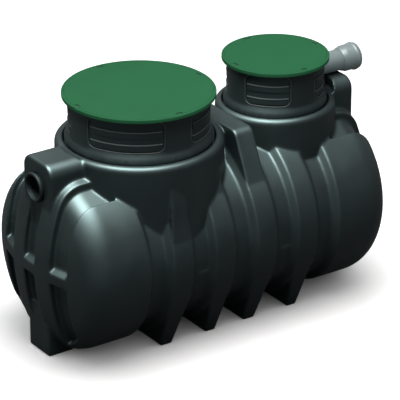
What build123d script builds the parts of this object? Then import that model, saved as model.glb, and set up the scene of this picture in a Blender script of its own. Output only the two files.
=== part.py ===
from build123d import *
from math import asin, atan2, cos, radians, sin, sqrt
import os

# Underground water tank: a horizontal ribbed barrel moulded in one hollow skin, with two round
# necks on top, a riser with a screwed lid in each neck, an inlet and an outlet block at the ends
# and a pipe that leaves the small riser. Millimetres. X runs along the tank with the inlet at -X,
# Z is up from the ground, and the origin lies under the middle of the overall length.

# Moulded skin
wall = 8.0
body_length = 1800.0
barrel_radius = 435.0
ground_gap = 5.0
end_crown_radius = 900.0
end_knuckle_radius = 135.0
end_straight_length = 10.0

# Ribs and the valleys between them
rib_pitch = 230.0
rib_crown_width = 102.0
rib_flank_run = 25.0
valley_depth = 34.0

# Legs: each rib runs straight down from its lower kinks to a flat base
leg_kink_drop = 197.0
leg_base_half_width = 283.0
wide_leg_base = 64.0
offset_leg_base = 54.0
offset_leg_shift = 14.0
leg_corner_radius = 8.0

# Upper stays: straight panels that run from a rib up to the necks
outer_stay_kink_rise = 131.0
outer_stay_lean = 0.14
outer_stay_top_drop = 38.0
outer_stay_top_width = 60.0
inner_stay_kink_rise = 275.0
inner_stay_lean = 0.47
inner_stay_top_drop = 10.0
saddle_rise = 6.0
saddle_corner_radius = 40.0

# Necks
large_neck_inset = 50.0
small_neck_radius = 280.0
neck_rise = 63.0
neck_shoulder_radius = 25.0
large_mouth_inset = 37.0
small_mouth_inset = 31.0
ledge_depth = 46.0
ledge_reach = 12.0
mouth_window_gap = 16.0

# Risers
large_riser_gap = 24.0
small_riser_gap = 21.0
riser_wall = 12.0
riser_flange_height = 14.0
riser_flange_clearance = 8.0
riser_flange_rise = 10.0
riser_skirt_height = 32.0
riser_head_reach = 8.0
riser_head_height = 10.0
large_panel_width = 348.0
small_panel_width = 212.0
panel_depth = 5.0
panel_corner_radius = 30.0
panel_low_rise = 47.0
panel_high_rise = 191.0
slat_rises = [39.0, 106.0]
slat_height = 30.0
slat_end_gap = 10.0
slat_skin_gap = 1.0

# Lids and their screws
large_lid_overhang = 26.0
small_lid_overhang = 22.0
lid_thickness = 16.0
lid_rise = 218.0
lid_edge_radius = 3.0
lid_line_inset = 14.0
lid_line_width = 3.0
lid_line_depth = 2.0
screw_inset = 26.0
screw_slot_length = 34.0
screw_slot_width = 15.0
screw_slot_depth = 7.0
screw_head_radius = 6.5
screw_head_height = 4.5
screw_shank_radius = 2.5
screw_clearance = 0.4
screw_shank_length = 16.0

# Inlet and outlet blocks
inlet_setback = 54.0
outlet_setback = 78.0
inlet_block_rise = 9.0
outlet_block_rise = 52.0
block_half_width = 117.0
block_top_radius = 58.0
block_face_radius = 14.0
inlet_axis_drop = 120.0
outlet_axis_drop = 72.0
seal_bore_radius = 55.0
seal_outer_radius = 70.0
seal_reach = 22.0
seal_lip_length = 12.0
seal_lip_edge_radius = 4.0
seal_seat_radius = 62.0

# End feet
end_foot_setback = 45.0
end_foot_length = 137.0
end_foot_half_width = 85.0
end_foot_edge_radius = 10.0

# Grooves in the domed ends
groove_depth = 31.0
groove_shelf_rise = 22.0
groove_inner_y = 152.0
groove_outer_y = 256.0
mid_groove_half_width = 46.0
upper_groove_rise = 22.0
upper_groove_crown_gap = 60.0
lower_groove_crown_gap = 60.0
lower_groove_drop = 30.0
lower_groove_foot_rise = 80.0
groove_end_gap = 30.0
groove_steps = 9
groove_spare = 60.0

# Pads in two valleys
pad_width = 50.0
pad_low_drop = 235.0
pad_high_drop = 55.0
pad_rise = 5.0
pad_setback = 4.0

# Vent pipe from the small riser
pipe_axis_rise = 104.0
pipe_radius = 50.0
pipe_wall = 3.2
pipe_reach = 15.0
socket_length = 96.0
socket_cone = 26.0
socket_cone_radius = 53.0
socket_grip = 20.0
socket_bore_radius = 55.0
socket_radius = 62.0
socket_bead_radius = 67.0
socket_bead_width = 14.0
pipe_inside = 36.0
grommet_radius = 62.0
grommet_reach = 5.0
grommet_seat_radius = 56.0
grommet_curve_depth = 12.0
grommet_back = 28.0
grommet_spare = 20.0
socket_bead_setback = 10.0

# Places worked out from the sizes above
half_length = body_length / 2
axis_z = barrel_radius + ground_gap
valley_radius = barrel_radius - valley_depth
rib_half = rib_crown_width / 2
foot_half = rib_half + rib_flank_run
valley_half = rib_pitch / 2 - foot_half
lobe_edge_x = 2 * rib_pitch + valley_half + rib_flank_run
rib_centres = [-1.5 * rib_pitch, -0.5 * rib_pitch, 0.5 * rib_pitch, 1.5 * rib_pitch]
valley_centres = [-2 * rib_pitch, -rib_pitch, 0.0, rib_pitch, 2 * rib_pitch]
neck_top_z = axis_z + barrel_radius + neck_rise
leg_kink_z = axis_z - leg_kink_drop
large_neck_x = -body_length / 6
small_neck_x = body_length * 91 / 360
large_neck_radius = barrel_radius - large_neck_inset
large_mouth_radius = large_neck_radius - large_mouth_inset
small_mouth_radius = small_neck_radius - small_mouth_inset
large_riser_radius = large_mouth_radius - large_riser_gap
small_riser_radius = small_mouth_radius - small_riser_gap
large_lid_radius = large_riser_radius + large_lid_overhang
small_lid_radius = small_riser_radius + small_lid_overhang
lid_top_z = neck_top_z + lid_rise
lid_bottom_z = lid_top_z - lid_thickness
panel_low_z = neck_top_z + panel_low_rise
panel_high_z = neck_top_z + panel_high_rise
ledge_z = neck_top_z - ledge_depth
stay_kinks = [axis_z + rise for rise in (outer_stay_kink_rise, inner_stay_kink_rise, inner_stay_kink_rise)]
collar_low_z = ledge_z - wall
block_faces = {-1: half_length - inlet_setback, 1: half_length - outlet_setback}
block_tops = {-1: neck_top_z + inlet_block_rise, 1: neck_top_z + outlet_block_rise}
seal_axes = {-1: neck_top_z - inlet_axis_drop, 1: neck_top_z - outlet_axis_drop}
end_foot_outer_x = half_length - end_foot_setback
end_foot_inner_x = end_foot_outer_x - end_foot_length
groove_end_x = -lobe_edge_x - groove_end_gap
upper_groove_low_z = axis_z + upper_groove_rise
upper_groove_high_z = axis_z + barrel_radius - upper_groove_crown_gap
lower_groove_low_z = axis_z - barrel_radius + lower_groove_crown_gap
lower_groove_high_z = axis_z - lower_groove_drop
pad_low_z = axis_z - pad_low_drop
pad_high_z = axis_z - pad_high_drop
pipe_axis_z = neck_top_z + pipe_axis_rise
pipe_end_x = half_length + pipe_reach
flank_angle = atan2(rib_flank_run, valley_depth)
origin_shift = (pipe_end_x - half_length) / 2


def flank_inset(offset):
    """How far a rib's corners move in along X when its skin is offset inwards."""
    return offset * (1 - sin(flank_angle)) / cos(flank_angle)


def about_axis(sketch):
    """Turn a half section, drawn with the radius as Y, about the barrel's axis."""
    return Pos(0, 0, axis_z) * revolve(sketch, Axis.X, 360)


def prism_along_x(points, low_x, high_x):
    """A solid with its outline in the YZ plane, from low_x to high_x."""
    face = make_face(Polyline(*[(low_x, y, z) for y, z in points], close=True))
    return extrude(face, high_x - low_x, dir=(1, 0, 0))


def prism_along_y(points, half_width):
    """A solid with its outline in the XZ plane, as far each side of Y = 0."""
    face = make_face(Polyline(*[(x, -half_width, z) for x, z in points], close=True))
    return extrude(face, 2 * half_width, dir=(0, 1, 0))


def box_between(low, high):
    size = [b - a for a, b in zip(low, high)]
    return Pos(*low) * Box(*size, align=(Align.MIN,) * 3)


def turned(radius, low_z, high_z, x):
    return Pos(x, 0, low_z) * Cylinder(radius, high_z - low_z, align=(Align.CENTER, Align.CENTER, Align.MIN))


def tube(outer, inner, low_z, high_z, x):
    return turned(outer, low_z, high_z, x) - turned(inner, low_z, high_z, x)


def without(shape, *cutters):
    for cutter in cutters:
        shape = shape - cutter
    return shape


def grouped(shapes):
    """One node of several solids that don't touch."""
    return Compound([solid for shape in shapes for solid in shape.solids()])


def parted(shape, axis, place):
    """The part below a place on an axis, "X" or "Z", and the part above it."""
    far = body_length
    low, high = (-far, -far, -far), (far, far, far)
    below = box_between(low, (place, far, far) if axis == "X" else (far, far, place))
    above = box_between((place, -far, -far) if axis == "X" else (-far, -far, place), high)
    return grouped([shape - above]), grouped([shape - below])


# Barrel: every shape is made filled, once at the skin's outside and once at its inside


def end_depth(offset):
    """Length of the domed part, from the apex to where the straight lobe begins."""
    crown = end_crown_radius - offset
    knuckle = end_knuckle_radius - offset
    return crown - sqrt((crown - knuckle) ** 2 - (barrel_radius - offset - knuckle) ** 2)


def dome_x(radius, offset=0.0):
    """How far the end's surface lies behind its apex plane at a radius from the axis."""
    crown = end_crown_radius - offset
    knuckle = end_knuckle_radius - offset
    knuckle_r = barrel_radius - offset - knuckle
    tangent_r = knuckle_r * crown / (crown - knuckle)
    if radius <= tangent_r:
        return crown - sqrt(crown ** 2 - radius ** 2)
    if radius >= barrel_radius - offset:
        return end_depth(offset)
    return end_depth(offset) - sqrt(knuckle ** 2 - (radius - knuckle_r) ** 2)


def end_solid(offset):
    """Filled left end: the dome, its lobe and the flank down to the first valley."""
    crown = end_crown_radius - offset
    knuckle = end_knuckle_radius - offset
    radius = barrel_radius - offset
    apex = -half_length + offset
    tangent_x = apex + end_depth(offset)
    knuckle_r = radius - knuckle
    meet_angle = asin(knuckle_r / (crown - knuckle))
    mid_angle = (radians(90) + meet_angle) / 2
    meet = (apex + crown - crown * cos(meet_angle), crown * sin(meet_angle))
    half_meet = (apex + crown - crown * cos(meet_angle / 2), crown * sin(meet_angle / 2))
    knuckle_mid = (tangent_x - knuckle * cos(mid_angle), knuckle_r + knuckle * sin(mid_angle))
    crown_x = -lobe_edge_x - flank_inset(offset)
    valley_x = -lobe_edge_x + rib_flank_run
    floor_r = valley_radius - offset
    foot = [(valley_x - flank_inset(offset), floor_r)] if offset else []
    outline = [ThreePointArc((apex, 0), half_meet, meet),
               ThreePointArc(meet, knuckle_mid, (tangent_x, radius)),
               Polyline((tangent_x, radius), (crown_x, radius), *foot,
                        (valley_x, floor_r), (valley_x, 0), (apex, 0))]
    return about_axis(make_face(outline))


def groove_section(y, low_z, high_z, grow, end_x=None):
    """Outline, in the plane at y, of what a groove takes from the left end. Its floor follows the end's
    surface and its shelf falls to the lip at low_z. With an end_x it carries on over the lobe to there."""
    depth = groove_depth + grow
    reach = barrel_radius - depth
    shelf_z = low_z + groove_shelf_rise
    if end_x is not None:
        high_z = axis_z + sqrt(reach ** 2 - y ** 2)
    points = []
    for step in range(groove_steps):
        z = shelf_z + (high_z - shelf_z) * sin(radians(90) * step / (groove_steps - 1))
        radius = min(sqrt(y ** 2 + (z - axis_z) ** 2), reach)
        points.append((-half_length + depth + dome_x(radius, depth), y, z))
    far_x = -half_length - groove_spare
    far_low_z = shelf_z - groove_shelf_rise / groove_depth * (points[0][0] - far_x)
    frame = [points[-1], (far_x, y, high_z), (far_x, y, far_low_z), points[0]]
    if end_x is not None:
        top_z = axis_z + barrel_radius + groove_spare
        frame[1:2] = [(end_x, y, high_z), (end_x, y, top_z), (far_x, y, top_z)]
    return make_face([Spline(*points), Polyline(*frame)])


def side_groove(side, grow, low_z, high_z, outer_low_z, end_x=None):
    """A groove beside the middle, from its inner edge to its outer one."""
    inner = groove_section(side * (groove_inner_y - grow), low_z, high_z, grow, end_x)
    outer = groove_section(side * (groove_outer_y + grow), outer_low_z, high_z, grow, end_x)
    return loft([inner, outer], ruled=True)


def middle_groove(low_z, high_z, grow):
    section = groove_section(0, low_z, high_z, grow)
    return extrude(section, mid_groove_half_width + grow, dir=(0, 1, 0), both=True)


def end_grooves(grow):
    """All the grooves of the left end, larger by grow for the skin's inside."""
    upper_low_z = upper_groove_low_z - grow
    lower_low_z, lower_high_z = lower_groove_low_z - grow, lower_groove_high_z + grow
    grooves = [middle_groove(upper_low_z, upper_groove_high_z + grow, grow),
               middle_groove(lower_low_z, lower_high_z, grow)]
    for side in (-1, 1):
        grooves.append(side_groove(side, grow, upper_low_z, upper_groove_high_z, upper_low_z, groove_end_x))
        grooves.append(side_groove(side, grow, lower_low_z, lower_high_z,
                                   lower_low_z + lower_groove_foot_rise))
    return grooves


def valley_solid(centre, offset):
    """Filled plain ring between two ribs."""
    outline = Polyline((-valley_half, 0), (-valley_half, valley_radius - offset),
                       (valley_half, valley_radius - offset), (valley_half, 0), close=True)
    return Pos(centre, 0, 0) * about_axis(make_face(outline))


def rib_ring(centre, offset):
    """Filled ring with a raised crown between two flanks."""
    crown = rib_half - flank_inset(offset)
    foot = foot_half - flank_inset(offset)
    low, high = valley_radius - offset, barrel_radius - offset
    ends = [(-foot, low)] if offset else []
    back = [(foot, low)] if offset else []
    outline = Polyline((-foot_half, 0), (-foot_half, low), *ends, (-crown, high), (crown, high), *back,
                       (foot_half, low), (foot_half, 0), close=True)
    return Pos(centre, 0, 0) * about_axis(make_face(outline))


def circle_y(z, radius=barrel_radius):
    """Half width of the barrel at a height."""
    return sqrt(radius ** 2 - (z - axis_z) ** 2)


def tapered_prism(centre, low, high, offset, edge_radius, top_corner_radius=0.0):
    """A panelled block across the tank. low and high give z, half width in Y, and its two X ends."""
    z0, y0, back0, front0 = low
    z1, y1, back1, front1 = high
    outline = prism_along_x([(-y0, z0), (y0, z0), (y1, z1), (-y1, z1)], centre - foot_half,
                            centre + foot_half)
    if top_corner_radius:
        corners = outline.edges().filter_by(Axis.X).group_by(Axis.Z)[-1]
        outline = fillet(corners, top_corner_radius - offset)
    sides = prism_along_y([(centre + back0, z0), (centre + front0, z0), (centre + front1, z1),
                           (centre + back1, z1)], max(y0, y1) + 1)
    block = outline & sides
    if offset:
        return block
    long_edges = block.edges().filter_by(lambda edge: abs(edge.tangent_at(0.5).Z) > 0.5)
    return fillet(long_edges, edge_radius)


def leg_block(index, offset):
    """Filled saddle and legs under one rib, from its lower kinks to the ground."""
    kink_y = circle_y(leg_kink_z)
    lean = (kink_y - leg_base_half_width) / leg_kink_z
    skin = offset * sqrt(1 + lean ** 2)
    if index % 2:
        back = offset_leg_shift - offset_leg_base / 2
        front = back + offset_leg_base
    else:
        back, front = -wide_leg_base / 2, wide_leg_base / 2
    low = (offset, leg_base_half_width + lean * offset - skin, back + offset, front - offset)
    high = (leg_kink_z, kink_y - skin, -rib_half + offset, rib_half - offset)
    return tapered_prism(rib_centres[index], low, high, offset, leg_corner_radius)


def stay_block(index, offset):
    """Filled upper stay of a rib; the last rib has none."""
    if index == 0:
        kink_z, lean, top_width = stay_kinks[index], outer_stay_lean, outer_stay_top_width
        top_z = neck_top_z - outer_stay_top_drop
    else:
        kink_z, lean, top_width = stay_kinks[index], inner_stay_lean, rib_crown_width
        top_z = neck_top_z - inner_stay_top_drop if index == 1 else neck_top_z + saddle_rise
    kink_y = circle_y(kink_z)
    skin = offset * sqrt(1 + lean ** 2)
    top_y = kink_y - lean * (top_z - offset - kink_z) - skin
    low = (kink_z, kink_y - skin, -rib_half + offset, rib_half - offset)
    high = (top_z - offset, top_y, -top_width / 2 + offset, top_width / 2 - offset)
    return tapered_prism(rib_centres[index], low, high, offset, leg_corner_radius,
                         saddle_corner_radius if index == 2 else 0.0)


def rib_solid(index, offset):
    shape = rib_ring(rib_centres[index], offset) + leg_block(index, offset)
    if index < 3:
        shape += stay_block(index, offset)
    return shape


def neck_solid(x, radius):
    neck = turned(radius, axis_z, neck_top_z, x)
    return fillet(neck.edges().group_by(Axis.Z)[-1], neck_shoulder_radius)


def block_solid(side, offset):
    """Filled inlet or outlet block, from its face back to the neck. Above the neck's top it only stands
    beside it."""
    face_x, top_z = block_faces[side], block_tops[side]
    neck_x, neck_radius = (large_neck_x, large_neck_radius) if side < 0 else (small_neck_x, small_neck_radius)
    half = block_half_width - offset
    block = box_between((min(side * (face_x - offset), neck_x), -half, axis_z),
                        (max(side * (face_x - offset), neck_x), half, top_z - offset))
    block = fillet(block.edges().filter_by(Axis.X).group_by(Axis.Z)[-1], block_top_radius - offset)
    face = block.faces().filter_by(Axis.X).sort_by(Axis.X)[0 if side < 0 else -1]
    rim = face.edges().filter_by(lambda edge: edge.center().Z > axis_z + 1)
    block = fillet(rim, block_face_radius - offset)
    return block - turned(neck_radius + offset, neck_top_z - offset, top_z + 1, neck_x)


def end_foot_solid(side, offset):
    foot = box_between((-end_foot_outer_x + offset, -end_foot_half_width + offset, offset),
                       (-end_foot_inner_x - offset, end_foot_half_width - offset, axis_z - valley_radius / 2))
    if not offset:
        foot = fillet(foot.edges().filter_by(Axis.Z), end_foot_edge_radius)
    return foot if side < 0 else mirror(foot, Plane.YZ)


# Filled outsides and insides of the whole moulding
large_neck_full = neck_solid(large_neck_x, large_neck_radius)
small_neck_full = neck_solid(small_neck_x, small_neck_radius)
lobe_start_x = half_length - end_depth(0) - end_straight_length
left_inside = without(end_solid(wall), *end_grooves(wall))
left_outsides = [without(piece, *end_grooves(0)) for piece in parted(end_solid(0), "X", -lobe_start_x)]
right_inside = mirror(left_inside, Plane.YZ)
right_outsides = [mirror(piece, Plane.YZ) for piece in left_outsides]
rib_insides = [rib_solid(index, wall) for index in range(4)]
rib_outsides = [rib_solid(index, 0) for index in range(4)]
valley_insides = [valley_solid(x, wall) for x in valley_centres]
valley_outsides = [valley_solid(x, 0) for x in valley_centres]
insides = [left_inside, right_inside, *rib_insides, *valley_insides]


nodes = {}
necks = [large_neck_full, small_neck_full]
left_block, right_block = block_solid(-1, 0), block_solid(1, 0)
left_foot, right_foot = end_foot_solid(-1, 0), end_foot_solid(1, 0)
for name, left_piece, right_piece in zip(("end", "lobe"), left_outsides, right_outsides):
    nodes[f"left_{name}"] = without(left_piece, large_neck_full, left_block, left_foot, left_inside)
    nodes[f"right_{name}"] = without(right_piece, small_neck_full, right_block, right_foot, right_inside)
for number, (outside, inside) in enumerate(zip(valley_outsides, valley_insides), 1):
    nodes[f"valley_{number}"] = without(outside, *necks, inside)
for index, (outside, inside) in enumerate(zip(rib_outsides, rib_insides)):
    legs, rib = parted(outside, "Z", leg_kink_z)
    if index < 3:
        rib, stay = parted(rib, "Z", stay_kinks[index])
        nodes[f"stay_{index + 1}"] = without(stay, *necks, inside)
    nodes[f"legs_{index + 1}"] = without(legs, inside)
    nodes[f"rib_{index + 1}"] = without(rib, *necks, inside)


# Necks: a wall, a shoulder with a mouth, and a ledge inside that carries the riser


def neck_shell(x, radius, mouth, riser, full, side):
    inside = turned(radius - wall, axis_z, collar_low_z, x)
    window_low = (x + min(0, side * radius), -block_half_width + wall, axis_z)
    window_high = (x + max(0, side * radius), block_half_width - wall, ledge_z - mouth_window_gap)
    inside += box_between(window_low, window_high)
    inside += turned(riser - riser_wall - ledge_reach, axis_z, ledge_z + 1, x)
    inside += turned(mouth, ledge_z, neck_top_z + 1, x)
    return without(full, inside, *insides)


large_shell = neck_shell(large_neck_x, large_neck_radius, large_mouth_radius, large_riser_radius,
                         large_neck_full, -1)
small_shell = neck_shell(small_neck_x, small_neck_radius, small_mouth_radius, small_riser_radius,
                         small_neck_full, 1)
nodes["large_neck"], nodes["large_collar"] = parted(large_shell, "Z", collar_low_z)
nodes["small_neck"], nodes["small_collar"] = parted(small_shell, "Z", collar_low_z)


# Inlet and outlet blocks with the seals that the drain pipes push into


def seal_rod(side, radius, back, length):
    """A round bar along the bore of a seal, from a place behind the seal's front."""
    front = block_faces[side] + seal_reach - back
    rod = Cylinder(radius, length, rotation=(0, 90, 0), align=(Align.CENTER, Align.CENTER, Align.MIN))
    return Pos(-front, 0, seal_axes[side]) * rod


def seal_along_x(side):
    """A rubber seal with a lip in front, seated in the hole of a block's face."""
    length = seal_reach + wall
    lip = seal_rod(side, seal_outer_radius, 0, seal_lip_length)
    lip = fillet(lip.edges().filter_by(GeomType.CIRCLE).group_by(Axis.X)[0], seal_lip_edge_radius)
    seal = lip + seal_rod(side, seal_seat_radius, 0, length) - seal_rod(side, seal_bore_radius, 0, length)
    return seal if side < 0 else mirror(seal, Plane.YZ)


def block_shell(side, full, neck):
    hole = Cylinder(seal_seat_radius, 4 * wall, rotation=(0, 90, 0))
    hole = Pos(side * block_faces[side], 0, seal_axes[side]) * hole
    return without(full, block_solid(side, wall), hole, neck, *insides)


nodes["inlet_block"] = block_shell(-1, left_block, large_neck_full)
nodes["outlet_block"] = block_shell(1, right_block, small_neck_full)
nodes["inlet_seal"] = seal_along_x(-1)
nodes["outlet_seal"] = seal_along_x(1)

# End feet and valley pads
nodes["left_end_foot"] = without(left_foot, end_foot_solid(-1, wall), left_inside)
nodes["right_end_foot"] = without(right_foot, end_foot_solid(1, wall), right_inside)


def valley_pads(side):
    ring = Pos(0, 0, axis_z) * (Cylinder(valley_radius + pad_rise, body_length, rotation=(0, 90, 0))
                                - Cylinder(valley_radius, body_length, rotation=(0, 90, 0)))
    pads = []
    for index in (1, 3):
        front = rib_centres[index] - foot_half - pad_setback
        window = box_between((front - pad_width, 0, pad_low_z), (front, barrel_radius, pad_high_z))
        pads.append(ring & window)
    pair = grouped(pads)
    return pair if side > 0 else mirror(pair, Plane.XZ)


nodes["front_valley_pads"] = valley_pads(-1)
nodes["rear_valley_pads"] = valley_pads(1)


# Risers, lids and screws


def panel_block(width, low_z, high_z, corner_radius, radius, x, angle):
    """What a rounded window, looked through towards the riser's axis, takes in on one side."""
    window = Plane.YZ * RectangleRounded(width, high_z - low_z, corner_radius)
    block = Pos(0, 0, (low_z + high_z) / 2) * extrude(window, 2 * radius)
    return Pos(x, 0, 0) * (Rot(0, 0, angle) * block)


def riser_shell(x, radius, mouth, panel_width):
    """A riser with a foot, a skirt and a head, and four panels with two slats each."""
    flange_z = neck_top_z + riser_flange_rise
    riser = turned(radius, ledge_z, lid_bottom_z, x)
    riser += turned(mouth - riser_flange_clearance, flange_z - riser_flange_height, flange_z, x)
    riser += Pos(x, 0, flange_z) * Cone(mouth - riser_flange_clearance, radius, riser_skirt_height,
                                        align=(Align.CENTER, Align.CENTER, Align.MIN))
    riser += turned(radius + riser_head_reach, lid_bottom_z - riser_head_height, lid_bottom_z, x)
    riser -= turned(radius - riser_wall, ledge_z - 1, lid_bottom_z + 1, x)
    recess = tube(radius + panel_depth, radius - panel_depth, panel_low_z, panel_high_z, x)
    slat_ring = tube(radius - slat_skin_gap, radius - panel_depth - 1, panel_low_z, panel_high_z, x)
    for angle in (45, 135, 225, 315):
        panel = panel_block(panel_width, panel_low_z, panel_high_z, panel_corner_radius, radius, x, angle)
        riser -= recess & panel
        for rise in slat_rises:
            low_z = panel_low_z + rise
            slat = panel_block(panel_width - 2 * slat_end_gap, low_z, low_z + slat_height, slat_skin_gap,
                               radius, x, angle)
            riser += slat_ring & slat
    return riser


def screw_places(lid_radius):
    reach = lid_radius - screw_inset
    return [(reach * cos(radians(90 * k)), reach * sin(radians(90 * k)), 90 * k) for k in range(4)]


def lid_plate(x, radius):
    lid = turned(radius, lid_bottom_z, lid_top_z, x)
    lid = fillet(lid.edges().group_by(Axis.Z)[-1], lid_edge_radius)
    lid -= tube(radius - lid_line_inset, radius - lid_line_inset - lid_line_width, lid_top_z - lid_line_depth,
                lid_top_z + 1, x)
    for dx, dy, turn in screw_places(radius):
        slot = SlotOverall(screw_slot_length, screw_slot_width, rotation=turn + 90)
        slot = extrude(slot, screw_slot_depth + 1)
        lid -= Pos(x + dx, dy, lid_top_z - screw_slot_depth) * slot
        hole = turned(screw_shank_radius + screw_clearance, lid_bottom_z - 1, lid_top_z, x + dx)
        lid -= Pos(0, dy, 0) * hole
    return lid


def lid_screws(x, radius):
    floor_z = lid_top_z - screw_slot_depth
    screws = []
    for dx, dy, turn in screw_places(radius):
        screw = turned(screw_head_radius, floor_z, floor_z + screw_head_height, 0)
        screw = fillet(screw.edges().group_by(Axis.Z)[-1], 1)
        screw += turned(screw_shank_radius, floor_z - screw_shank_length, floor_z, 0)
        screws.append(Pos(x + dx, dy, 0) * screw)
    return grouped(screws)


large_riser = riser_shell(large_neck_x, large_riser_radius, large_mouth_radius, large_panel_width)
small_riser = riser_shell(small_neck_x, small_riser_radius, small_mouth_radius, small_panel_width)
nodes["large_lid"] = lid_plate(large_neck_x, large_lid_radius)
nodes["small_lid"] = lid_plate(small_neck_x, small_lid_radius)
nodes["large_lid_screws"] = lid_screws(large_neck_x, large_lid_radius)
nodes["small_lid_screws"] = lid_screws(small_neck_x, small_lid_radius)
for x, radius in ((large_neck_x, large_lid_radius), (small_neck_x, small_lid_radius)):
    for dx, dy, _ in screw_places(radius):
        hole = Pos(0, dy, 0) * turned(screw_shank_radius + screw_clearance, lid_bottom_z - screw_shank_length,
                                      lid_bottom_z + 1, x + dx)
        large_riser -= hole
        small_riser -= hole


# Vent pipe with its socket, through a grommet in the small riser's wall


def rod_along_x(radius, low_x, high_x):
    return Pos(low_x, 0, pipe_axis_z) * Cylinder(radius, high_x - low_x, rotation=(0, 90, 0),
                                                 align=(Align.CENTER, Align.CENTER, Align.MIN))


riser_face_x = small_neck_x + small_riser_radius
socket_x = pipe_end_x - socket_length
pipe_start_x = riser_face_x - pipe_inside
nodes["small_riser"] = small_riser - rod_along_x(grommet_seat_radius, small_neck_x,
                                                 riser_face_x + grommet_reach)
nodes["large_riser"] = large_riser
grommet = rod_along_x(grommet_radius, riser_face_x - grommet_curve_depth, riser_face_x + grommet_reach)
grommet -= turned(small_riser_radius, pipe_axis_z - grommet_radius - grommet_spare,
                  pipe_axis_z + grommet_radius + grommet_spare, small_neck_x)
grommet += rod_along_x(grommet_seat_radius, riser_face_x - grommet_back, riser_face_x + grommet_reach)
nodes["pipe_grommet"] = grommet - rod_along_x(pipe_radius, pipe_start_x, pipe_end_x)
shoulder_x = socket_x + socket_grip
nodes["vent_pipe"] = (rod_along_x(pipe_radius, pipe_start_x, shoulder_x)
                      - rod_along_x(pipe_radius - pipe_wall, pipe_start_x, shoulder_x))
socket_outline = Polyline((socket_x, 0), (socket_x, socket_cone_radius),
                          (socket_x + socket_cone, socket_radius), (pipe_end_x, socket_radius),
                          (pipe_end_x, 0), close=True)
socket = Pos(0, 0, pipe_axis_z) * revolve(make_face(socket_outline), Axis.X, 360)
socket += rod_along_x(socket_bead_radius, pipe_end_x - socket_bead_setback - socket_bead_width,
                      pipe_end_x - socket_bead_setback)
socket -= rod_along_x(pipe_radius, socket_x, shoulder_x)
nodes["pipe_socket"] = socket - rod_along_x(socket_bore_radius, shoulder_x, pipe_end_x)

os.makedirs("parts", exist_ok=True)
for name, shape in nodes.items():
    moved = Pos(-origin_shift, 0, 0) * grouped([shape])
    export_step(moved, f"parts/{name}.step")
    print(name, len(moved.solids()), round(moved.volume / 1000), "cm3")
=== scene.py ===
"""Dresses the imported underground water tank: moulded skin, risers, lids, seals, vent pipe and studio."""
import math

import bpy
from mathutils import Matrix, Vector


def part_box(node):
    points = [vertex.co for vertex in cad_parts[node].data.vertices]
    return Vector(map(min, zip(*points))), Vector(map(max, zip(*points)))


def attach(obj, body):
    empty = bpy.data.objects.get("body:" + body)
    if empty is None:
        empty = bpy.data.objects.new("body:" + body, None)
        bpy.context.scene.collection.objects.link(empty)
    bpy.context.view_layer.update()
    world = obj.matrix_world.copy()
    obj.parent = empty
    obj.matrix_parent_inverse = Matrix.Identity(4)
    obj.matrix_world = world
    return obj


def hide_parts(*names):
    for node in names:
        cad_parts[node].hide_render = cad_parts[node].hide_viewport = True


bl_info = {
    "name": "Underground Water Tank Dressing",
    "version": (1, 0, 0),
    "blender": (4, 5, 0),
    "location": "View3D > Sidebar > Tank",
    "description": "Moulded skin, risers, lids, seals and vent pipe for a ribbed underground water tank",
    "category": "Object",
}

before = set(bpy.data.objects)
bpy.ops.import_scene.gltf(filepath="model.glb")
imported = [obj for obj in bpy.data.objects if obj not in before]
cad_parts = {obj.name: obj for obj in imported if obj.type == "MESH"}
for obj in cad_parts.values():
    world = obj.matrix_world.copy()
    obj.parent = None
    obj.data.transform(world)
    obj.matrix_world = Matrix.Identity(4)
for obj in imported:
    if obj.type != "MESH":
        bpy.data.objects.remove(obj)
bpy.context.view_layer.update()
MM = 0.001
TEAL = (0.76, 1.0, 0.99)  # the black plastic's sheen is a little green and blue

# Nodes of the one moulded body
BODY_NODES = ["left_end", "right_end", "large_neck", "small_neck", "inlet_block", "outlet_block",
              "left_end_foot", "right_end_foot", "front_valley_pads", "rear_valley_pads",
              "left_lobe", "right_lobe", "large_collar", "small_collar"]
for part, count in (("rib", 4), ("legs", 4), ("stay", 3), ("valley", 5)):
    BODY_NODES += [f"{part}_{number}" for number in range(1, count + 1)]


def middle(node):
    low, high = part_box(node)
    return (low + high) / 2


def radius_of(node):
    low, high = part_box(node)
    return (high.x - low.x) / 2


# Places read from the frame
LARGE_AXIS = middle("large_lid")
SMALL_AXIS = middle("small_lid")
LID_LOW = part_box("large_lid")[0].z
LID_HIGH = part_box("large_lid")[1].z
RISER_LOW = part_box("large_riser")[0].z
WALL_RADIUS = {"large_riser": 0.324, "small_riser": 0.228}
PANEL_DEPTH = 5 * MM
PANEL_TURNS = [math.radians(45 + 90 * number) for number in range(4)]
SLAT_HEIGHT = 30 * MM
SLAT_END_GAP = 10 * MM
# Foot of each slat below the lid's underside, and how far it is lowered to where it shows
SLAT_DROPS = [(116 * MM, 30 * MM), (49 * MM, 36 * MM)]
# The skin is parted here, to keep its pieces small
SKIN_SPLITS = [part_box("rib_1")[0].x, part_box("rib_3")[0].x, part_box("rib_4")[1].x]


class TankSkinSettings(bpy.types.PropertyGroup):
    """How the moulded body is skinned and coloured."""
    voxel: bpy.props.FloatProperty(name="Voxel", description="Grid size of the continuous skin",
                                   default=0.0052, min=0.004, max=0.02, unit="LENGTH")
    smoothing: bpy.props.IntProperty(name="Smoothing", description="How often the skin's edges are eased",
                                     default=7, min=0, max=60)
    colour: bpy.props.FloatVectorProperty(name="Colour", description="Colour of the moulded polyethylene",
                                          default=(0.0040, 0.0062, 0.0076), min=0, max=1, subtype="COLOR")
    roughness: bpy.props.FloatProperty(name="Roughness", description="How matt the moulded surface is",
                                       default=0.50, min=0, max=1, subtype="FACTOR")


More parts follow.
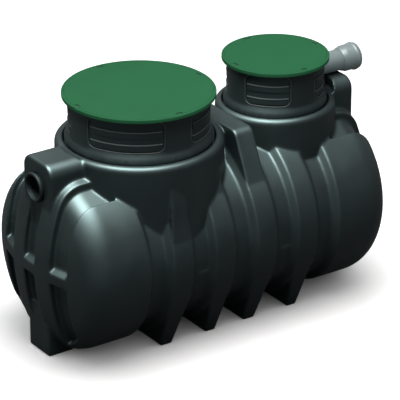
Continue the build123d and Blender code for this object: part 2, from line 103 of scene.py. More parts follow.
class TankRiserSettings(bpy.types.PropertyGroup):
    """Finish of the risers."""
    edge: bpy.props.FloatProperty(name="Edge radius", description="Rounding of the risers' edges",
                                  default=0.0015, min=0, max=0.01, unit="LENGTH")
    colour: bpy.props.FloatVectorProperty(name="Colour", description="Colour of the riser plastic",
                                          default=(0.0040, 0.0062, 0.0076), min=0, max=1, subtype="COLOR")


class TankPanelSettings(bpy.types.PropertyGroup):
    """Beads that frame the panels of the risers."""
    bead: bpy.props.FloatProperty(name="Bead", description="Radius of the bead round each panel",
                                  default=0.0015, min=0.0005, max=0.01, unit="LENGTH")
    large_width: bpy.props.FloatProperty(name="Large width", description="Width of the large riser's panels",
                                         default=0.348, min=0.05, max=0.5, unit="LENGTH")
    small_width: bpy.props.FloatProperty(name="Small width", description="Width of the small riser's panels",
                                         default=0.212, min=0.05, max=0.4, unit="LENGTH")
    corner: bpy.props.FloatProperty(name="Corner", description="Rounding of the panels' corners",
                                    default=0.030, min=0.001, max=0.1, unit="LENGTH")
    low: bpy.props.FloatProperty(name="Low edge", description="Depth of the panels' foot below the lid",
                                 default=0.155, min=0.05, max=0.3, unit="LENGTH")
    high: bpy.props.FloatProperty(name="High edge", description="Depth of the panels' top below the lid",
                                  default=0.011, min=0.0, max=0.1, unit="LENGTH")
    lip: bpy.props.FloatProperty(name="Lip", description="Radius of the lip along the top of each slat",
                                 default=0.0014, min=0.0005, max=0.01, unit="LENGTH")
    lips: bpy.props.FloatVectorProperty(name="Lip depths", description="Depth of the lips below the lid",
                                        default=(0.0575, 0.1185), size=2, unit="LENGTH")


class TankLidSettings(bpy.types.PropertyGroup):
    """Shape and colour of the lids and their screws."""
    colour: bpy.props.FloatVectorProperty(name="Colour", description="Green of the lids",
                                          default=(0.026, 0.162, 0.066), min=0, max=1, subtype="COLOR")
    rim_line: bpy.props.FloatProperty(name="Rim line", description="Distance of the fine line from the rim",
                                      default=0.012, min=0, max=0.05, unit="LENGTH")
    edge: bpy.props.FloatProperty(name="Edge radius", description="Rounding of the lid's edges",
                                  default=0.0025, min=0, max=0.01, unit="LENGTH")
    screw_inset: bpy.props.FloatProperty(name="Screw inset", description="Distance of screws from the rim",
                                         default=0.026, min=0, max=0.1, unit="LENGTH")


class TankPipeSettings(bpy.types.PropertyGroup):
    """Colour of the vent pipe and the rubber seals."""
    colour: bpy.props.FloatVectorProperty(name="Pipe colour", description="Grey of the drain pipe",
                                          default=(0.31, 0.38, 0.385), min=0, max=1, subtype="COLOR")
    rubber: bpy.props.FloatVectorProperty(name="Rubber colour", description="Colour of the seals",
                                          default=(0.008, 0.0085, 0.009), min=0, max=1, subtype="COLOR")


class TankStageSettings(bpy.types.PropertyGroup):
    """Camera, floor and light."""
    azimuth: bpy.props.FloatProperty(name="Azimuth", description="Camera's turn about the tank",
                                     default=math.radians(-34.31), subtype="ANGLE")
    elevation: bpy.props.FloatProperty(name="Elevation", description="Camera's height angle",
                                       default=math.radians(25.10), subtype="ANGLE")
    distance: bpy.props.FloatProperty(name="Distance", description="Camera's distance from its target",
                                      default=13.854, unit="LENGTH")
    target: bpy.props.FloatVectorProperty(name="Target", description="Point that the camera looks at",
                                          default=(0.0257, 0.0, 0.5202), subtype="TRANSLATION", unit="LENGTH")
    focal_length: bpy.props.FloatProperty(name="Focal length", description="Lens in mm on a 36 mm sensor",
                                          default=268.75, min=10, max=1000)
    floor_size: bpy.props.FloatProperty(name="Floor size", description="Side of the floor",
                                        default=90.0, unit="LENGTH")
    top_light: bpy.props.FloatProperty(name="Top light", description="Power of the large softbox above",
                                       default=150.0, min=0, unit="POWER")
    side_light: bpy.props.FloatProperty(name="Side light", description="Power of the softbox at the left",
                                        default=15.0, min=0, unit="POWER")
    sheen_light: bpy.props.FloatProperty(name="Sheen light", description="Power of the card seen only in sheen",
                                         default=2250.0, min=0, unit="POWER")
    sky: bpy.props.FloatProperty(name="Sky", description="Brightness of the surrounding light on the object",
                                 default=0.30, min=0, max=2)


# Small modelling steps


def only(obj):
    """Selects one object and makes it active."""
    bpy.ops.object.select_all(action="DESELECT")
    obj.select_set(True)
    bpy.context.view_layer.objects.active = obj


def settle(obj):
    """Applies a new piece's place, so that its object sits at the origin."""
    only(obj)
    bpy.ops.object.transform_apply(location=True, rotation=True, scale=True)


def apply_modifier(obj, kind, **values):
    only(obj)
    modifier = obj.modifiers.new(kind.title(), kind)
    for name, value in values.items():
        setattr(modifier, name, value)
    bpy.ops.object.modifier_apply(modifier=modifier.name)


def face_outwards(obj):
    only(obj)
    bpy.ops.object.mode_set(mode="EDIT")
    bpy.ops.mesh.select_all(action="SELECT")
    bpy.ops.mesh.remove_doubles(threshold=0.00001)
    bpy.ops.mesh.normals_make_consistent(inside=False)
    bpy.ops.object.mode_set(mode="OBJECT")


def spun(name, profile, centre, steps, along="Z"):
    """A turned piece. The profile is (radius, height) points of a closed outline, in metres."""
    bpy.ops.mesh.primitive_plane_add(size=0.001, location=(0, 0, 0))
    obj = bpy.context.object
    obj.name = name
    bpy.ops.object.mode_set(mode="EDIT")
    bpy.ops.mesh.select_all(action="SELECT")
    bpy.ops.mesh.merge(type="CENTER")
    radius, height = profile[0]
    bpy.ops.transform.translate(value=(radius, 0, height))
    for next_radius, next_height in profile[1:] + profile[:1]:
        step = (next_radius - radius, 0, next_height - height)
        bpy.ops.mesh.extrude_region_move(TRANSFORM_OT_translate={"value": step})
        radius, height = next_radius, next_height
    bpy.ops.mesh.select_all(action="SELECT")
    bpy.ops.mesh.remove_doubles(threshold=0.00001)
    bpy.ops.mesh.select_all(action="SELECT")
    bpy.ops.mesh.spin(steps=steps, angle=math.tau, center=(0, 0, 0), axis=(0, 0, 1), use_auto_merge=True)
    bpy.ops.object.mode_set(mode="OBJECT")
    face_outwards(obj)
    if along == "X":
        obj.rotation_euler = (0, math.pi / 2, 0)
    if along == "-X":
        obj.rotation_euler = (0, -math.pi / 2, 0)
    obj.location = centre
    settle(obj)
    return obj


def bevelled(obj, width, segments=3, angle=30):
    apply_modifier(obj, "BEVEL", width=width, segments=segments, limit_method="ANGLE",
                   angle_limit=math.radians(angle), harden_normals=False)
    only(obj)
    bpy.ops.object.shade_smooth_by_angle(angle=math.radians(35))


def joined(objects, name):
    bpy.ops.object.select_all(action="DESELECT")
    for obj in objects:
        obj.select_set(True)
    bpy.context.view_layer.objects.active = objects[0]
    bpy.ops.object.join()
    obj = bpy.context.object
    obj.name = name
    return obj


def node_copy(node):
    """A merged copy of a CAD node's mesh, as an object of its own."""
    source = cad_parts[node]
    copy = bpy.data.objects.new(node + "_copy", source.data.copy())
    copy.data.materials.clear()
    bpy.context.scene.collection.objects.link(copy)
    only(copy)
    bpy.ops.object.mode_set(mode="EDIT")
    bpy.ops.mesh.select_all(action="SELECT")
    bpy.ops.mesh.remove_doubles(threshold=0.00005)
    bpy.ops.object.mode_set(mode="OBJECT")
    return copy


def hand_over(piece, material, slot, *nodes):
    """Gives a finished piece its material and body, and hides the nodes that it stands for. The slot is not
    used.
    """
    piece.data.materials.clear()
    piece.data.materials.append(material)
    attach(piece, "root")
    if nodes:
        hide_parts(*nodes)


# Materials


def link(tree, from_socket, to_socket):
    tree.links.new(from_socket, to_socket)


def new_group(name, inputs, outputs):
    """A shader node group with named sockets."""
    tree = bpy.data.node_groups.new(name, "ShaderNodeTree")
    for socket_name, kind, value in inputs:
        socket = tree.interface.new_socket(name=socket_name, in_out="INPUT", socket_type=kind)
        if value is not None:
            socket.default_value = value
    for socket_name, kind in outputs:
        tree.interface.new_socket(name=socket_name, in_out="OUTPUT", socket_type=kind)
    return tree, tree.nodes.new("NodeGroupInput"), tree.nodes.new("NodeGroupOutput")


def moulded_grain_group():
    """Fine orange peel, slow waves and cloudy variation of a moulded plastic surface."""
    tree, inside, outside = new_group(
        "Moulded Grain",
        [("Vector", "NodeSocketVector", None), ("Colour", "NodeSocketColor", (0.02, 0.02, 0.02, 1)),
         ("Variation", "NodeSocketFloat", 0.2), ("Roughness", "NodeSocketFloat", 0.4),
         ("Peel", "NodeSocketFloat", 0.5), ("Peel Scale", "NodeSocketFloat", 260.0)],
        [("Colour", "NodeSocketColor"), ("Roughness", "NodeSocketFloat"), ("Height", "NodeSocketFloat")])
    peel = tree.nodes.new("ShaderNodeTexNoise")
    peel.inputs["Detail"].default_value = 2.0
    link(tree, inside.outputs["Vector"], peel.inputs["Vector"])
    link(tree, inside.outputs["Peel Scale"], peel.inputs["Scale"])
    cloud = tree.nodes.new("ShaderNodeTexNoise")
    cloud.inputs["Scale"].default_value = 6.0
    cloud.inputs["Detail"].default_value = 4.0
    link(tree, inside.outputs["Vector"], cloud.inputs["Vector"])
    shift = tree.nodes.new("ShaderNodeMapRange")
    shift.inputs["From Min"].default_value = 0.3
    shift.inputs["From Max"].default_value = 0.7
    shift.inputs["To Min"].default_value = -0.5
    shift.inputs["To Max"].default_value = 0.5
    link(tree, cloud.outputs["Fac"], shift.inputs["Value"])
    swing = tree.nodes.new("ShaderNodeMath")
    swing.operation = "MULTIPLY_ADD"
    swing.inputs[2].default_value = 1.0
    link(tree, shift.outputs["Result"], swing.inputs[0])
    link(tree, inside.outputs["Variation"], swing.inputs[1])
    tint = tree.nodes.new("ShaderNodeVectorMath")
    tint.operation = "SCALE"
    link(tree, inside.outputs["Colour"], tint.inputs[0])
    link(tree, swing.outputs[0], tint.inputs["Scale"])
    link(tree, tint.outputs[0], outside.inputs["Colour"])
    rough = tree.nodes.new("ShaderNodeMath")
    rough.operation = "MULTIPLY_ADD"
    rough.inputs[1].default_value = 0.10
    link(tree, shift.outputs["Result"], rough.inputs[0])
    link(tree, inside.outputs["Roughness"], rough.inputs[2])
    link(tree, rough.outputs[0], outside.inputs["Roughness"])
    height = tree.nodes.new("ShaderNodeMath")
    height.operation = "MULTIPLY"
    link(tree, peel.outputs["Fac"], height.inputs[0])
    link(tree, inside.outputs["Peel"], height.inputs[1])
    link(tree, height.outputs[0], outside.inputs["Height"])
    return tree


def plastic(name, colour, roughness, variation, peel, peel_scale, specular, tint=(1, 1, 1)):
    """A material with moulded grain. Metal pieces use it too, and are then made metallic."""
    material = bpy.data.materials.new(name)
    material.use_nodes = True
    tree = material.node_tree
    shader = tree.nodes["Principled BSDF"]
    place = tree.nodes.new("ShaderNodeTexCoord")
    grain = tree.nodes.new("ShaderNodeGroup")
    grain.node_tree = bpy.data.node_groups["Moulded Grain"]
    link(tree, place.outputs["Object"], grain.inputs["Vector"])
    grain.inputs["Colour"].default_value = (*colour, 1)
    grain.inputs["Roughness"].default_value = roughness
    grain.inputs["Variation"].default_value = variation
    grain.inputs["Peel"].default_value = peel
    grain.inputs["Peel Scale"].default_value = peel_scale
    bump = tree.nodes.new("ShaderNodeBump")
    bump.inputs["Distance"].default_value = 0.0006
    bump.inputs["Strength"].default_value = 0.5
    link(tree, grain.outputs["Colour"], shader.inputs["Base Color"])
    link(tree, grain.outputs["Roughness"], shader.inputs["Roughness"])
    link(tree, grain.outputs["Height"], bump.inputs["Height"])
    link(tree, bump.outputs["Normal"], shader.inputs["Normal"])
    shader.inputs["Specular IOR Level"].default_value = specular
    shader.inputs["Specular Tint"].default_value = (*tint, 1)
    return material


# Operators


class TANK_OT_mould_skin(bpy.types.Operator):
    """Skins the moulded body: one continuous surface over barrel, ribs, necks, blocks and feet"""
    bl_idname = "tank.mould_skin"
    bl_label = "Mould Skin"

    def plugs(self):
        """Closed forms that shut the mouths and the pipe holes while the skin is made."""
        forms = []
        low, high = RISER_LOW - 20 * MM, RISER_LOW + 2 * MM
        for neck, lid in (("large_neck", LARGE_AXIS), ("small_neck", SMALL_AXIS)):
            reach = radius_of(neck) - 4 * MM
            disc = [(1 * MM, low), (reach, low), (reach, high), (1 * MM, high)]
            forms.append(spun(neck + "_plug", disc, (lid.x, 0, 0), 96))
        for block, seal, side in (("inlet_block", "inlet_seal", -1), ("outlet_block", "outlet_seal", 1)):
            hole = (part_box(seal)[1].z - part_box(seal)[0].z) / 2 - 7 * MM
            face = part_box(block)[0 if side < 0 else 1].x
            start, depth, wall = 4 * MM, 150 * MM, 14 * MM
            cup = [(hole, start), (hole, depth), (1 * MM, depth), (1 * MM, depth + wall),
                   (hole + wall, depth + wall), (hole + wall, start)]
            place = (face, 0, middle(seal).z)
            forms.append(spun(seal + "_cup", cup, place, 48, along="X" if side < 0 else "-X"))
        return forms

    def execute(self, context):
        settings = context.scene.tank_skin
        parts = [node_copy(node) for node in BODY_NODES] + self.plugs()
        skin = joined(parts, "tank_skin")
        apply_modifier(skin, "REMESH", mode="VOXEL", voxel_size=settings.voxel, use_smooth_shade=True)
        only(skin)
        bpy.ops.mesh.separate(type="LOOSE")
        shells = sorted(context.selected_objects, key=lambda obj: len(obj.data.vertices))
        outer = shells.pop()
        for shell in shells:
            bpy.data.objects.remove(shell)
        apply_modifier(outer, "SMOOTH", factor=0.5, iterations=settings.smoothing)
        limits = [None] + SKIN_SPLITS + [None]
        pieces = []
        for number, (low, high) in enumerate(zip(limits, limits[1:]), 1):
            piece = outer.copy()
            piece.data = outer.data.copy()
            piece.name = f"tank_skin_{number}"
            context.scene.collection.objects.link(piece)
            for place, clear_left in ((low, True), (high, False)):
                if place is None:
                    continue
                only(piece)
                bpy.ops.object.mode_set(mode="EDIT")
                bpy.ops.mesh.select_all(action="SELECT")
                bpy.ops.mesh.bisect(plane_co=(place, 0, 0), plane_no=(1, 0, 0), clear_inner=clear_left,
                                    clear_outer=not clear_left, use_fill=False)
                bpy.ops.object.mode_set(mode="OBJECT")
            only(piece)
            bpy.ops.object.shade_smooth()
            pieces.append(piece)
        bpy.data.objects.remove(outer)
        material = plastic("moulded_polyethylene", settings.colour, settings.roughness, variation=0.25,
                           peel=0.6, peel_scale=240.0, specular=0.5, tint=TEAL)
        for piece in pieces:
            hand_over(piece, material, "moulded_shell", *(BODY_NODES if piece is pieces[0] else ()))
        return {"FINISHED"}


class TANK_OT_finish_risers(bpy.types.Operator):
    """Rounds the risers' edges and gives them their plastic"""
    bl_idname = "tank.finish_risers"
    bl_label = "Finish Risers"

    def set_slats(self, riser, centre, radius, reach):
        """Lowers the slats to the heights where they show. A panel's slats reach that far to both sides."""
        slack = 0.5 * MM
        inner, outer = radius - PANEL_DEPTH - slack, radius - slack
        for foot, drop in SLAT_DROPS:
            low = LID_LOW - foot
            only(riser)
            bpy.ops.object.mode_set(mode="EDIT")
            bpy.ops.mesh.select_mode(type="VERT")
            bpy.ops.mesh.select_all(action="DESELECT")
            bpy.ops.object.mode_set(mode="OBJECT")
            for vertex in riser.data.vertices:
                x, y, z = vertex.co
                out = math.hypot(x - centre.x, y)
                sideways = min(abs(y * math.cos(turn) - (x - centre.x) * math.sin(turn))
                               for turn in PANEL_TURNS)
                upright = low - slack < z < low + SLAT_HEIGHT + slack
                vertex.select = upright and sideways < reach and inner < out < outer
            bpy.ops.object.mode_set(mode="EDIT")
            bpy.ops.transform.translate(value=(0, 0, -drop))
            bpy.ops.object.mode_set(mode="OBJECT")

    def execute(self, context):
        settings = context.scene.tank_riser
        panels = context.scene.tank_panel
        material = plastic("riser_plastic", settings.colour, roughness=0.5, variation=0.2,
                           peel=0.5, peel_scale=420.0, specular=0.5, tint=TEAL)
        for node, width in (("large_riser", panels.large_width), ("small_riser", panels.small_width)):
            riser = node_copy(node)
            riser.name = node + "_wall"
            self.set_slats(riser, middle(node), WALL_RADIUS[node], width / 2 - SLAT_END_GAP + 0.15 * MM)
            bevelled(riser, settings.edge, segments=2, angle=28)
            apply_modifier(riser, "WEIGHTED_NORMAL", keep_sharp=True, weight=100)
            hand_over(riser, material, "riser_plastic", node)
        return {"FINISHED"}


class TANK_OT_frame_panels(bpy.types.Operator):
    """Lays a thin bead round every panel of the risers and a lip along the top of every slat"""
    bl_idname = "tank.frame_panels"
    bl_label = "Frame Panels"

    def outline(self, width, low, high, corner):
        """Points (sideways, height) round a panel with rounded corners."""
        points = []
        for start, side, end in ((0, 1, high), (90, -1, high), (180, -1, low), (270, 1, low)):
            across = side * (width / 2 - corner)
            upright = end - corner if end == high else end + corner
            for step in range(7):
                angle = math.radians(start + 15 * step)
                points.append((across + corner * math.cos(angle), upright + corner * math.sin(angle)))
        dense = []
        for (y0, z0), (y1, z1) in zip(points, points[1:] + points[:1]):
            count = max(1, round(math.hypot(y1 - y0, z1 - z0) / (10 * MM)))
            dense += [(y0 + (y1 - y0) * k / count, z0 + (z1 - z0) * k / count) for k in range(count)]
        return dense

    def bead(self, points, radius, thickness):
        """A closed round bead that follows the points over a riser's wall."""
        path = []
        for across, height in points:
            angle = math.asin(across / radius)
            path.append((radius * math.cos(angle), radius * math.sin(angle), height))
        bpy.ops.mesh.primitive_circle_add(vertices=len(path), radius=0.01, fill_type="NOTHING")
        wire = bpy.context.object
        for vertex, place in zip(wire.data.vertices, path):
            vertex.co = place
        bpy.ops.object.convert(target="CURVE")
        wire = bpy.context.object
        wire.data.bevel_depth = thickness
        wire.data.bevel_resolution = 3
        bpy.ops.object.convert(target="MESH")
        return bpy.context.object

    def execute(self, context):
        settings = context.scene.tank_panel
        material = bpy.data.materials["riser_plastic"]
        for node, lid, width in (("large_riser", LARGE_AXIS, settings.large_width),
                                 ("small_riser", SMALL_AXIS, settings.small_width)):
            radius = WALL_RADIUS[node]
            points = self.outline(width, LID_LOW - settings.low, LID_LOW - settings.high, settings.corner)
            beads = []
            runs = [(points, radius, settings.bead)]
            for depth in settings.lips:
                height = LID_LOW - depth
                lip = self.outline(width - 2 * SLAT_END_GAP, height - MM, height + MM, MM)
                runs.append((lip, radius - MM, settings.lip))
            for turn in PANEL_TURNS:
                for path, out, thickness in runs:
                    bead = self.bead(path, out, thickness)
                    bead.rotation_euler = (0, 0, turn)
                    bead.location = (lid.x, 0, 0)
                    settle(bead)
                    beads.append(bead)
            frames = joined(beads, node + "_panel_beads")
            only(frames)
            bpy.ops.object.shade_smooth()
            hand_over(frames, material, "riser_plastic")
        return {"FINISHED"}


class TANK_OT_make_lids(bpy.types.Operator):
    """Models the green lids with their rim line and screw slots"""
    bl_idname = "tank.make_lids"
    bl_label = "Make Lids"

    def slots(self, lid, centre, reach, top):
        """Cuts the four screw slots."""
        for quarter in range(4):
            angle = quarter * math.pi / 2
            place = (centre.x + reach * math.cos(angle), reach * math.sin(angle), top)
            bpy.ops.mesh.primitive_cube_add(size=1, location=place, rotation=(0, 0, angle))
            cutter = bpy.context.object
            cutter.scale = (15 * MM, 34 * MM, 14 * MM)
            settle(cutter)
            bevelled(cutter, 6 * MM, segments=4, angle=60)
            only(lid)
            modifier = lid.modifiers.new("Slot", "BOOLEAN")
            modifier.object = cutter
            modifier.operation = "DIFFERENCE"
            modifier.solver = "EXACT"
            bpy.ops.object.modifier_apply(modifier="Slot")
            bpy.data.objects.remove(cutter)

    def execute(self, context):
        settings = context.scene.tank_lid
        material = plastic("green_lid_plastic", settings.colour, roughness=0.7, variation=0.10,
                           peel=0.5, peel_scale=500.0, specular=0.03)
        for node in ("large_lid", "small_lid"):
            centre, radius = middle(node), radius_of(node)
            line = radius - settings.rim_line
            profile = [(0.0005, LID_HIGH), (line - 3 * MM, LID_HIGH), (line - 1.5 * MM, LID_HIGH - 1.5 * MM),
                       (line, LID_HIGH), (radius - 1 * MM, LID_HIGH - 1 * MM), (radius, LID_HIGH - 3 * MM),
                       (radius, LID_LOW), (0.0005, LID_LOW)]
            lid = spun(node + "_plate", profile, (centre.x, 0, 0), 180)
            self.slots(lid, centre, radius - settings.screw_inset, LID_HIGH)
            only(lid)
            bpy.ops.object.shade_smooth_by_angle(angle=math.radians(35))
            hand_over(lid, material, "lid_plastic", node)
        return {"FINISHED"}


class TANK_OT_make_screws(bpy.types.Operator):
    """Models the screws that hold the lids"""
    bl_idname = "tank.make_screws"
    bl_label = "Make Screws"

    def execute(self, context):
        settings = context.scene.tank_lid
        # The heads are made near-black so that they stay as dark as the shaded slots they sit in: painted shade
        # over the steel
        material = plastic("shade_dark_steel", (0.030, 0.034, 0.034), roughness=0.6, variation=0.3,
                           peel=0.3, peel_scale=900.0, specular=0.5)
        material.node_tree.nodes["Principled BSDF"].inputs["Metallic"].default_value = 1.0
        for lid, node in (("large_lid", "large_lid_screws"), ("small_lid", "small_lid_screws")):
            centre, reach = middle(lid), radius_of(lid) - settings.screw_inset
            floor = LID_HIGH - 7 * MM
            heads = []
            for quarter in range(4):
                angle = quarter * math.pi / 2
                place = (centre.x + reach * math.cos(angle), reach * math.sin(angle), floor)
                profile = [(0.0029, 1 * MM), (0.0029, 4.0 * MM), (0.0045, 4.5 * MM), (0.0065, 3.2 * MM),
                           (0.0065, 0), (0.0005, 0), (0.0005, 1 * MM)]
                heads.append(spun("head", profile, place, 24))
            screws = joined(heads, node + "_heads")
            only(screws)
            bpy.ops.object.shade_smooth_by_angle(angle=math.radians(30))
            hand_over(screws, material, "screw_steel", node)
        return {"FINISHED"}


class TANK_OT_make_seals(bpy.types.Operator):
    """Models the rubber seals of the inlet and outlet"""
    bl_idname = "tank.make_seals"
    bl_label = "Make Seals"

    def execute(self, context):
        settings = context.scene.tank_pipe
        material = plastic("seal_rubber", settings.rubber, roughness=0.65, variation=0.2,
                           peel=0.4, peel_scale=700.0, specular=0.2, tint=TEAL)
        for node, along in (("inlet_seal", "-X"), ("outlet_seal", "X")):
            low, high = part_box(node)
            outer, length = (high.z - low.z) / 2, high.x - low.x
            bore = outer - 15 * MM
            seat, lip = bore + 7 * MM, length - 12 * MM
            profile = [(bore, 0), (seat, 0), (seat, lip), (outer - 1 * MM, lip), (outer, lip + 2 * MM),
                       (outer, length - 4 * MM), (outer - 4 * MM, length), (bore + 4 * MM, length),
                       (bore + 1 * MM, length - 3 * MM), (bore + 1 * MM, length - 14 * MM),
                       (bore, length - 16 * MM)]
            start = high.x if along == "-X" else low.x
            seal = spun(node + "_ring", profile, (start, 0, middle(node).z), 96, along=along)
            bevelled(seal, 1.2 * MM, segments=2)
            hand_over(seal, material, "seal_rubber", node)
        grommet = node_copy("pipe_grommet")
        grommet.name = "pipe_grommet_ring"
        bevelled(grommet, 1.0 * MM, segments=2)
        hand_over(grommet, material, "seal_rubber", "pipe_grommet")
        return {"FINISHED"}


class TANK_OT_make_vent_pipe(bpy.types.Operator):
    """Models the grey vent pipe and its socket"""
    bl_idname = "tank.make_vent_pipe"
    bl_label = "Make Vent Pipe"

    def execute(self, context):
        settings = context.scene.tank_pipe
        material = plastic("grey_pipe_plastic", settings.colour, roughness=0.45, variation=0.06,
                           peel=0.2, peel_scale=600.0, specular=0.25)
        low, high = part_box("vent_pipe")
        radius = (high.z - low.z) / 2
        bore = radius - 3.2 * MM
        pipe = spun("vent_pipe_tube", [(bore, low.x), (radius, low.x), (radius, high.x), (bore, high.x)],
                    (0, 0, middle("vent_pipe").z), 96, along="X")
        bevelled(pipe, 0.8 * MM, segments=2)
        hand_over(pipe, material, "pipe_plastic", "vent_pipe")
        low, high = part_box("pipe_socket")
        widest = (high.z - low.z) / 2
        barrel = widest - 5 * MM
        start, end = low.x, high.x
        shoulder, grip = start + 20 * MM, radius + 5 * MM
        profile = [(radius, start), (radius + 3 * MM, start), (barrel - 1 * MM, start + 23 * MM),
                   (barrel, start + 26 * MM), (barrel, end - 26 * MM), (widest - 1 * MM, end - 22 * MM),
                   (widest, end - 17 * MM), (widest - 1 * MM, end - 12 * MM), (barrel + 1 * MM, end - 9 * MM),
                   (barrel + 1 * MM, end), (grip + 3 * MM, end), (grip, end - 4 * MM), (grip, shoulder),
                   (radius, shoulder)]
        socket = spun("pipe_socket_cup", profile, (0, 0, middle("pipe_socket").z), 96, along="X")
        bevelled(socket, 1.2 * MM, segments=3, angle=20)
        hand_over(socket, material, "pipe_plastic", "pipe_socket")
        return {"FINISHED"}


class TANK_OT_set_stage(bpy.types.Operator):
    """Sets the camera, the floor and the studio light"""
    bl_idname = "tank.set_stage"
    bl_label = "Set Stage"

    def floor(self, size):
        bpy.ops.mesh.primitive_plane_add(size=size, location=(0, 0, -0.0005))
        floor = bpy.context.object
        floor.name = "studio_floor"
        material = bpy.data.materials.new("studio_floor")
        material.use_nodes = True
        tree = material.node_tree
        shader = tree.nodes["Principled BSDF"]
        shader.inputs["Roughness"].default_value = 0.9
        shader.inputs["Specular IOR Level"].default_value = 0.1
        colour = tree.nodes.new("ShaderNodeMix")
        colour.data_type = "RGBA"
        colour.inputs["A"].default_value = (0.10, 0.10, 0.10, 1)
        colour.inputs["B"].default_value = (0.93, 0.86, 0.86, 1)
        link(tree, self.seen_directly(tree, 0.05), colour.inputs["Factor"])
        link(tree, colour.outputs["Result"], shader.inputs["Base Color"])
        # The glow stands for the studio's light from all round, so it fades under the tank
        openness = tree.nodes.new("ShaderNodeAmbientOcclusion")
        openness.inputs["Distance"].default_value = 0.36
        fade = tree.nodes.new("ShaderNodeMath")
        fade.operation = "POWER"
        fade.inputs[1].default_value = 1.4
        link(tree, openness.outputs["AO"], fade.inputs[0])
        glow = tree.nodes.new("ShaderNodeMath")
        glow.operation = "MULTIPLY"
        link(tree, fade.outputs[0], glow.inputs[0])
        link(tree, self.seen_directly(tree, 0.05), glow.inputs[1])
        shader.inputs["Emission Color"].default_value = (0.80, 0.84, 0.835, 1)
        link(tree, glow.outputs[0], shader.inputs["Emission Strength"])
        floor.data.materials.append(material)

    def seen_directly(self, tree, in_reflections):
        """1 for the camera and through clear things, and as given in reflections."""
        path = tree.nodes.new("ShaderNodeLightPath")
        direct = tree.nodes.new("ShaderNodeMath")
        direct.operation = "MAXIMUM"
        link(tree, path.outputs["Is Camera Ray"], direct.inputs[0])
        link(tree, path.outputs["Is Transmission Ray"], direct.inputs[1])
        mirrored = tree.nodes.new("ShaderNodeMath")
        mirrored.operation = "MULTIPLY_ADD"
        mirrored.inputs[1].default_value = in_reflections
        link(tree, path.outputs["Is Glossy Ray"], mirrored.inputs[0])
        link(tree, direct.outputs[0], mirrored.inputs[2])
        return mirrored.outputs[0]

    def softbox(self, name, place, aim, size, power, colour=(1, 1, 1), sheen_only=False):
        light = bpy.data.lights.new(name, "AREA")
        light.shape = "RECTANGLE"
        light.size, light.size_y = size
        light.energy = power
        light.color = colour
        lamp = bpy.data.objects.new(name, light)
        lamp.location = place
        lamp.visible_diffuse = not sheen_only
        lamp.rotation_euler = (Vector(aim) - Vector(place)).to_track_quat("-Z", "Y").to_euler()
        bpy.context.scene.collection.objects.link(lamp)

    def world(self, sky):
        world = bpy.context.scene.world or bpy.data.worlds.new("studio")
        bpy.context.scene.world = world
        world.use_nodes = True
        tree = world.node_tree
        background = tree.nodes["Background"]
        background.inputs["Color"].default_value = (1, 1, 1, 1)
        strength = tree.nodes.new("ShaderNodeMapRange")
        strength.inputs["To Min"].default_value = sky
        strength.inputs["To Max"].default_value = 1.0
        link(tree, self.seen_directly(tree, 0.12), strength.inputs["Value"])
        link(tree, strength.outputs["Result"], background.inputs["Strength"])

    def execute(self, context):
        settings = context.scene.tank_stage
        self.floor(settings.floor_size)
        self.softbox("top_softbox", (0.0, -0.7, 5.2), (0, -0.7, 0), (3.2, 4.4), settings.top_light)
        self.softbox("left_softbox", (-6.0, -2.2, 3.0), (0, 0, 0.5), (3.0, 3.0), settings.side_light)
        self.softbox("sheen_card", (-1.35, -0.55, 5.7), (0, 0, 0.5), (3.5, 3.5), settings.sheen_light,
                     colour=(0.93, 1.0, 0.99), sheen_only=True)
        self.world(settings.sky)
        azimuth, elevation = settings.azimuth, settings.elevation
        back = Vector((math.sin(azimuth) * math.cos(elevation), -math.cos(azimuth) * math.cos(elevation),
                       math.sin(elevation)))
        camera = bpy.data.objects.new("camera", bpy.data.cameras.new("camera"))
        context.scene.collection.objects.link(camera)
        camera.location = Vector(settings.target) + back * settings.distance
        camera.rotation_euler = (-back).to_track_quat("-Z", "Y").to_euler()
        camera.data.sensor_width = 36
        camera.data.lens = settings.focal_length
        camera.data.clip_end = 200
        context.scene.camera = camera
        context.scene.view_settings.view_transform = "Standard"
        return {"FINISHED"}


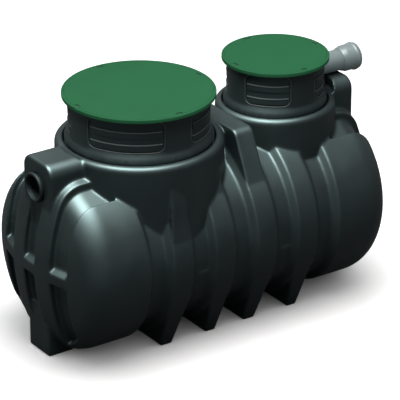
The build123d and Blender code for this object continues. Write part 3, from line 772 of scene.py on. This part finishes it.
class TANK_PT_panel(bpy.types.Panel):
    """Lists the steps that dress the tank"""
    bl_label = "Tank"
    bl_idname = "TANK_PT_panel"
    bl_space_type = "VIEW_3D"
    bl_region_type = "UI"
    bl_category = "Tank"

    def draw(self, context):
        scene = context.scene
        for settings, operators in ((scene.tank_skin, ["tank.mould_skin"]),
                                    (scene.tank_riser, ["tank.finish_risers"]),
                                    (scene.tank_panel, ["tank.frame_panels"]),
                                    (scene.tank_lid, ["tank.make_lids", "tank.make_screws"]),
                                    (scene.tank_pipe, ["tank.make_seals", "tank.make_vent_pipe"]),
                                    (scene.tank_stage, ["tank.set_stage"])):
            box = self.layout.box()
            for name in settings.bl_rna.properties.keys():
                if name not in ("rna_type", "name"):
                    box.prop(settings, name)
            for operator in operators:
                box.operator(operator)


SETTINGS = {"tank_skin": TankSkinSettings, "tank_riser": TankRiserSettings,
            "tank_panel": TankPanelSettings, "tank_lid": TankLidSettings,
            "tank_pipe": TankPipeSettings, "tank_stage": TankStageSettings}
OPERATORS = [TANK_OT_mould_skin, TANK_OT_finish_risers, TANK_OT_frame_panels, TANK_OT_make_lids,
             TANK_OT_make_screws, TANK_OT_make_seals, TANK_OT_make_vent_pipe, TANK_OT_set_stage]


def register():
    for name, settings in SETTINGS.items():
        bpy.utils.register_class(settings)
        setattr(bpy.types.Scene, name, bpy.props.PointerProperty(type=settings))
    for item in OPERATORS + [TANK_PT_panel]:
        bpy.utils.register_class(item)


def unregister():
    for item in [TANK_PT_panel] + OPERATORS[::-1]:
        bpy.utils.unregister_class(item)
    for name, settings in SETTINGS.items():
        delattr(bpy.types.Scene, name)
        bpy.utils.unregister_class(settings)


def main():
    register()
    moulded_grain_group()
    bpy.ops.tank.mould_skin()
    bpy.ops.tank.finish_risers()
    bpy.ops.tank.frame_panels()
    bpy.ops.tank.make_lids()
    bpy.ops.tank.make_screws()
    bpy.ops.tank.make_seals()
    bpy.ops.tank.make_vent_pipe()
    bpy.ops.tank.set_stage()


if __name__ == "__main__":
    main()
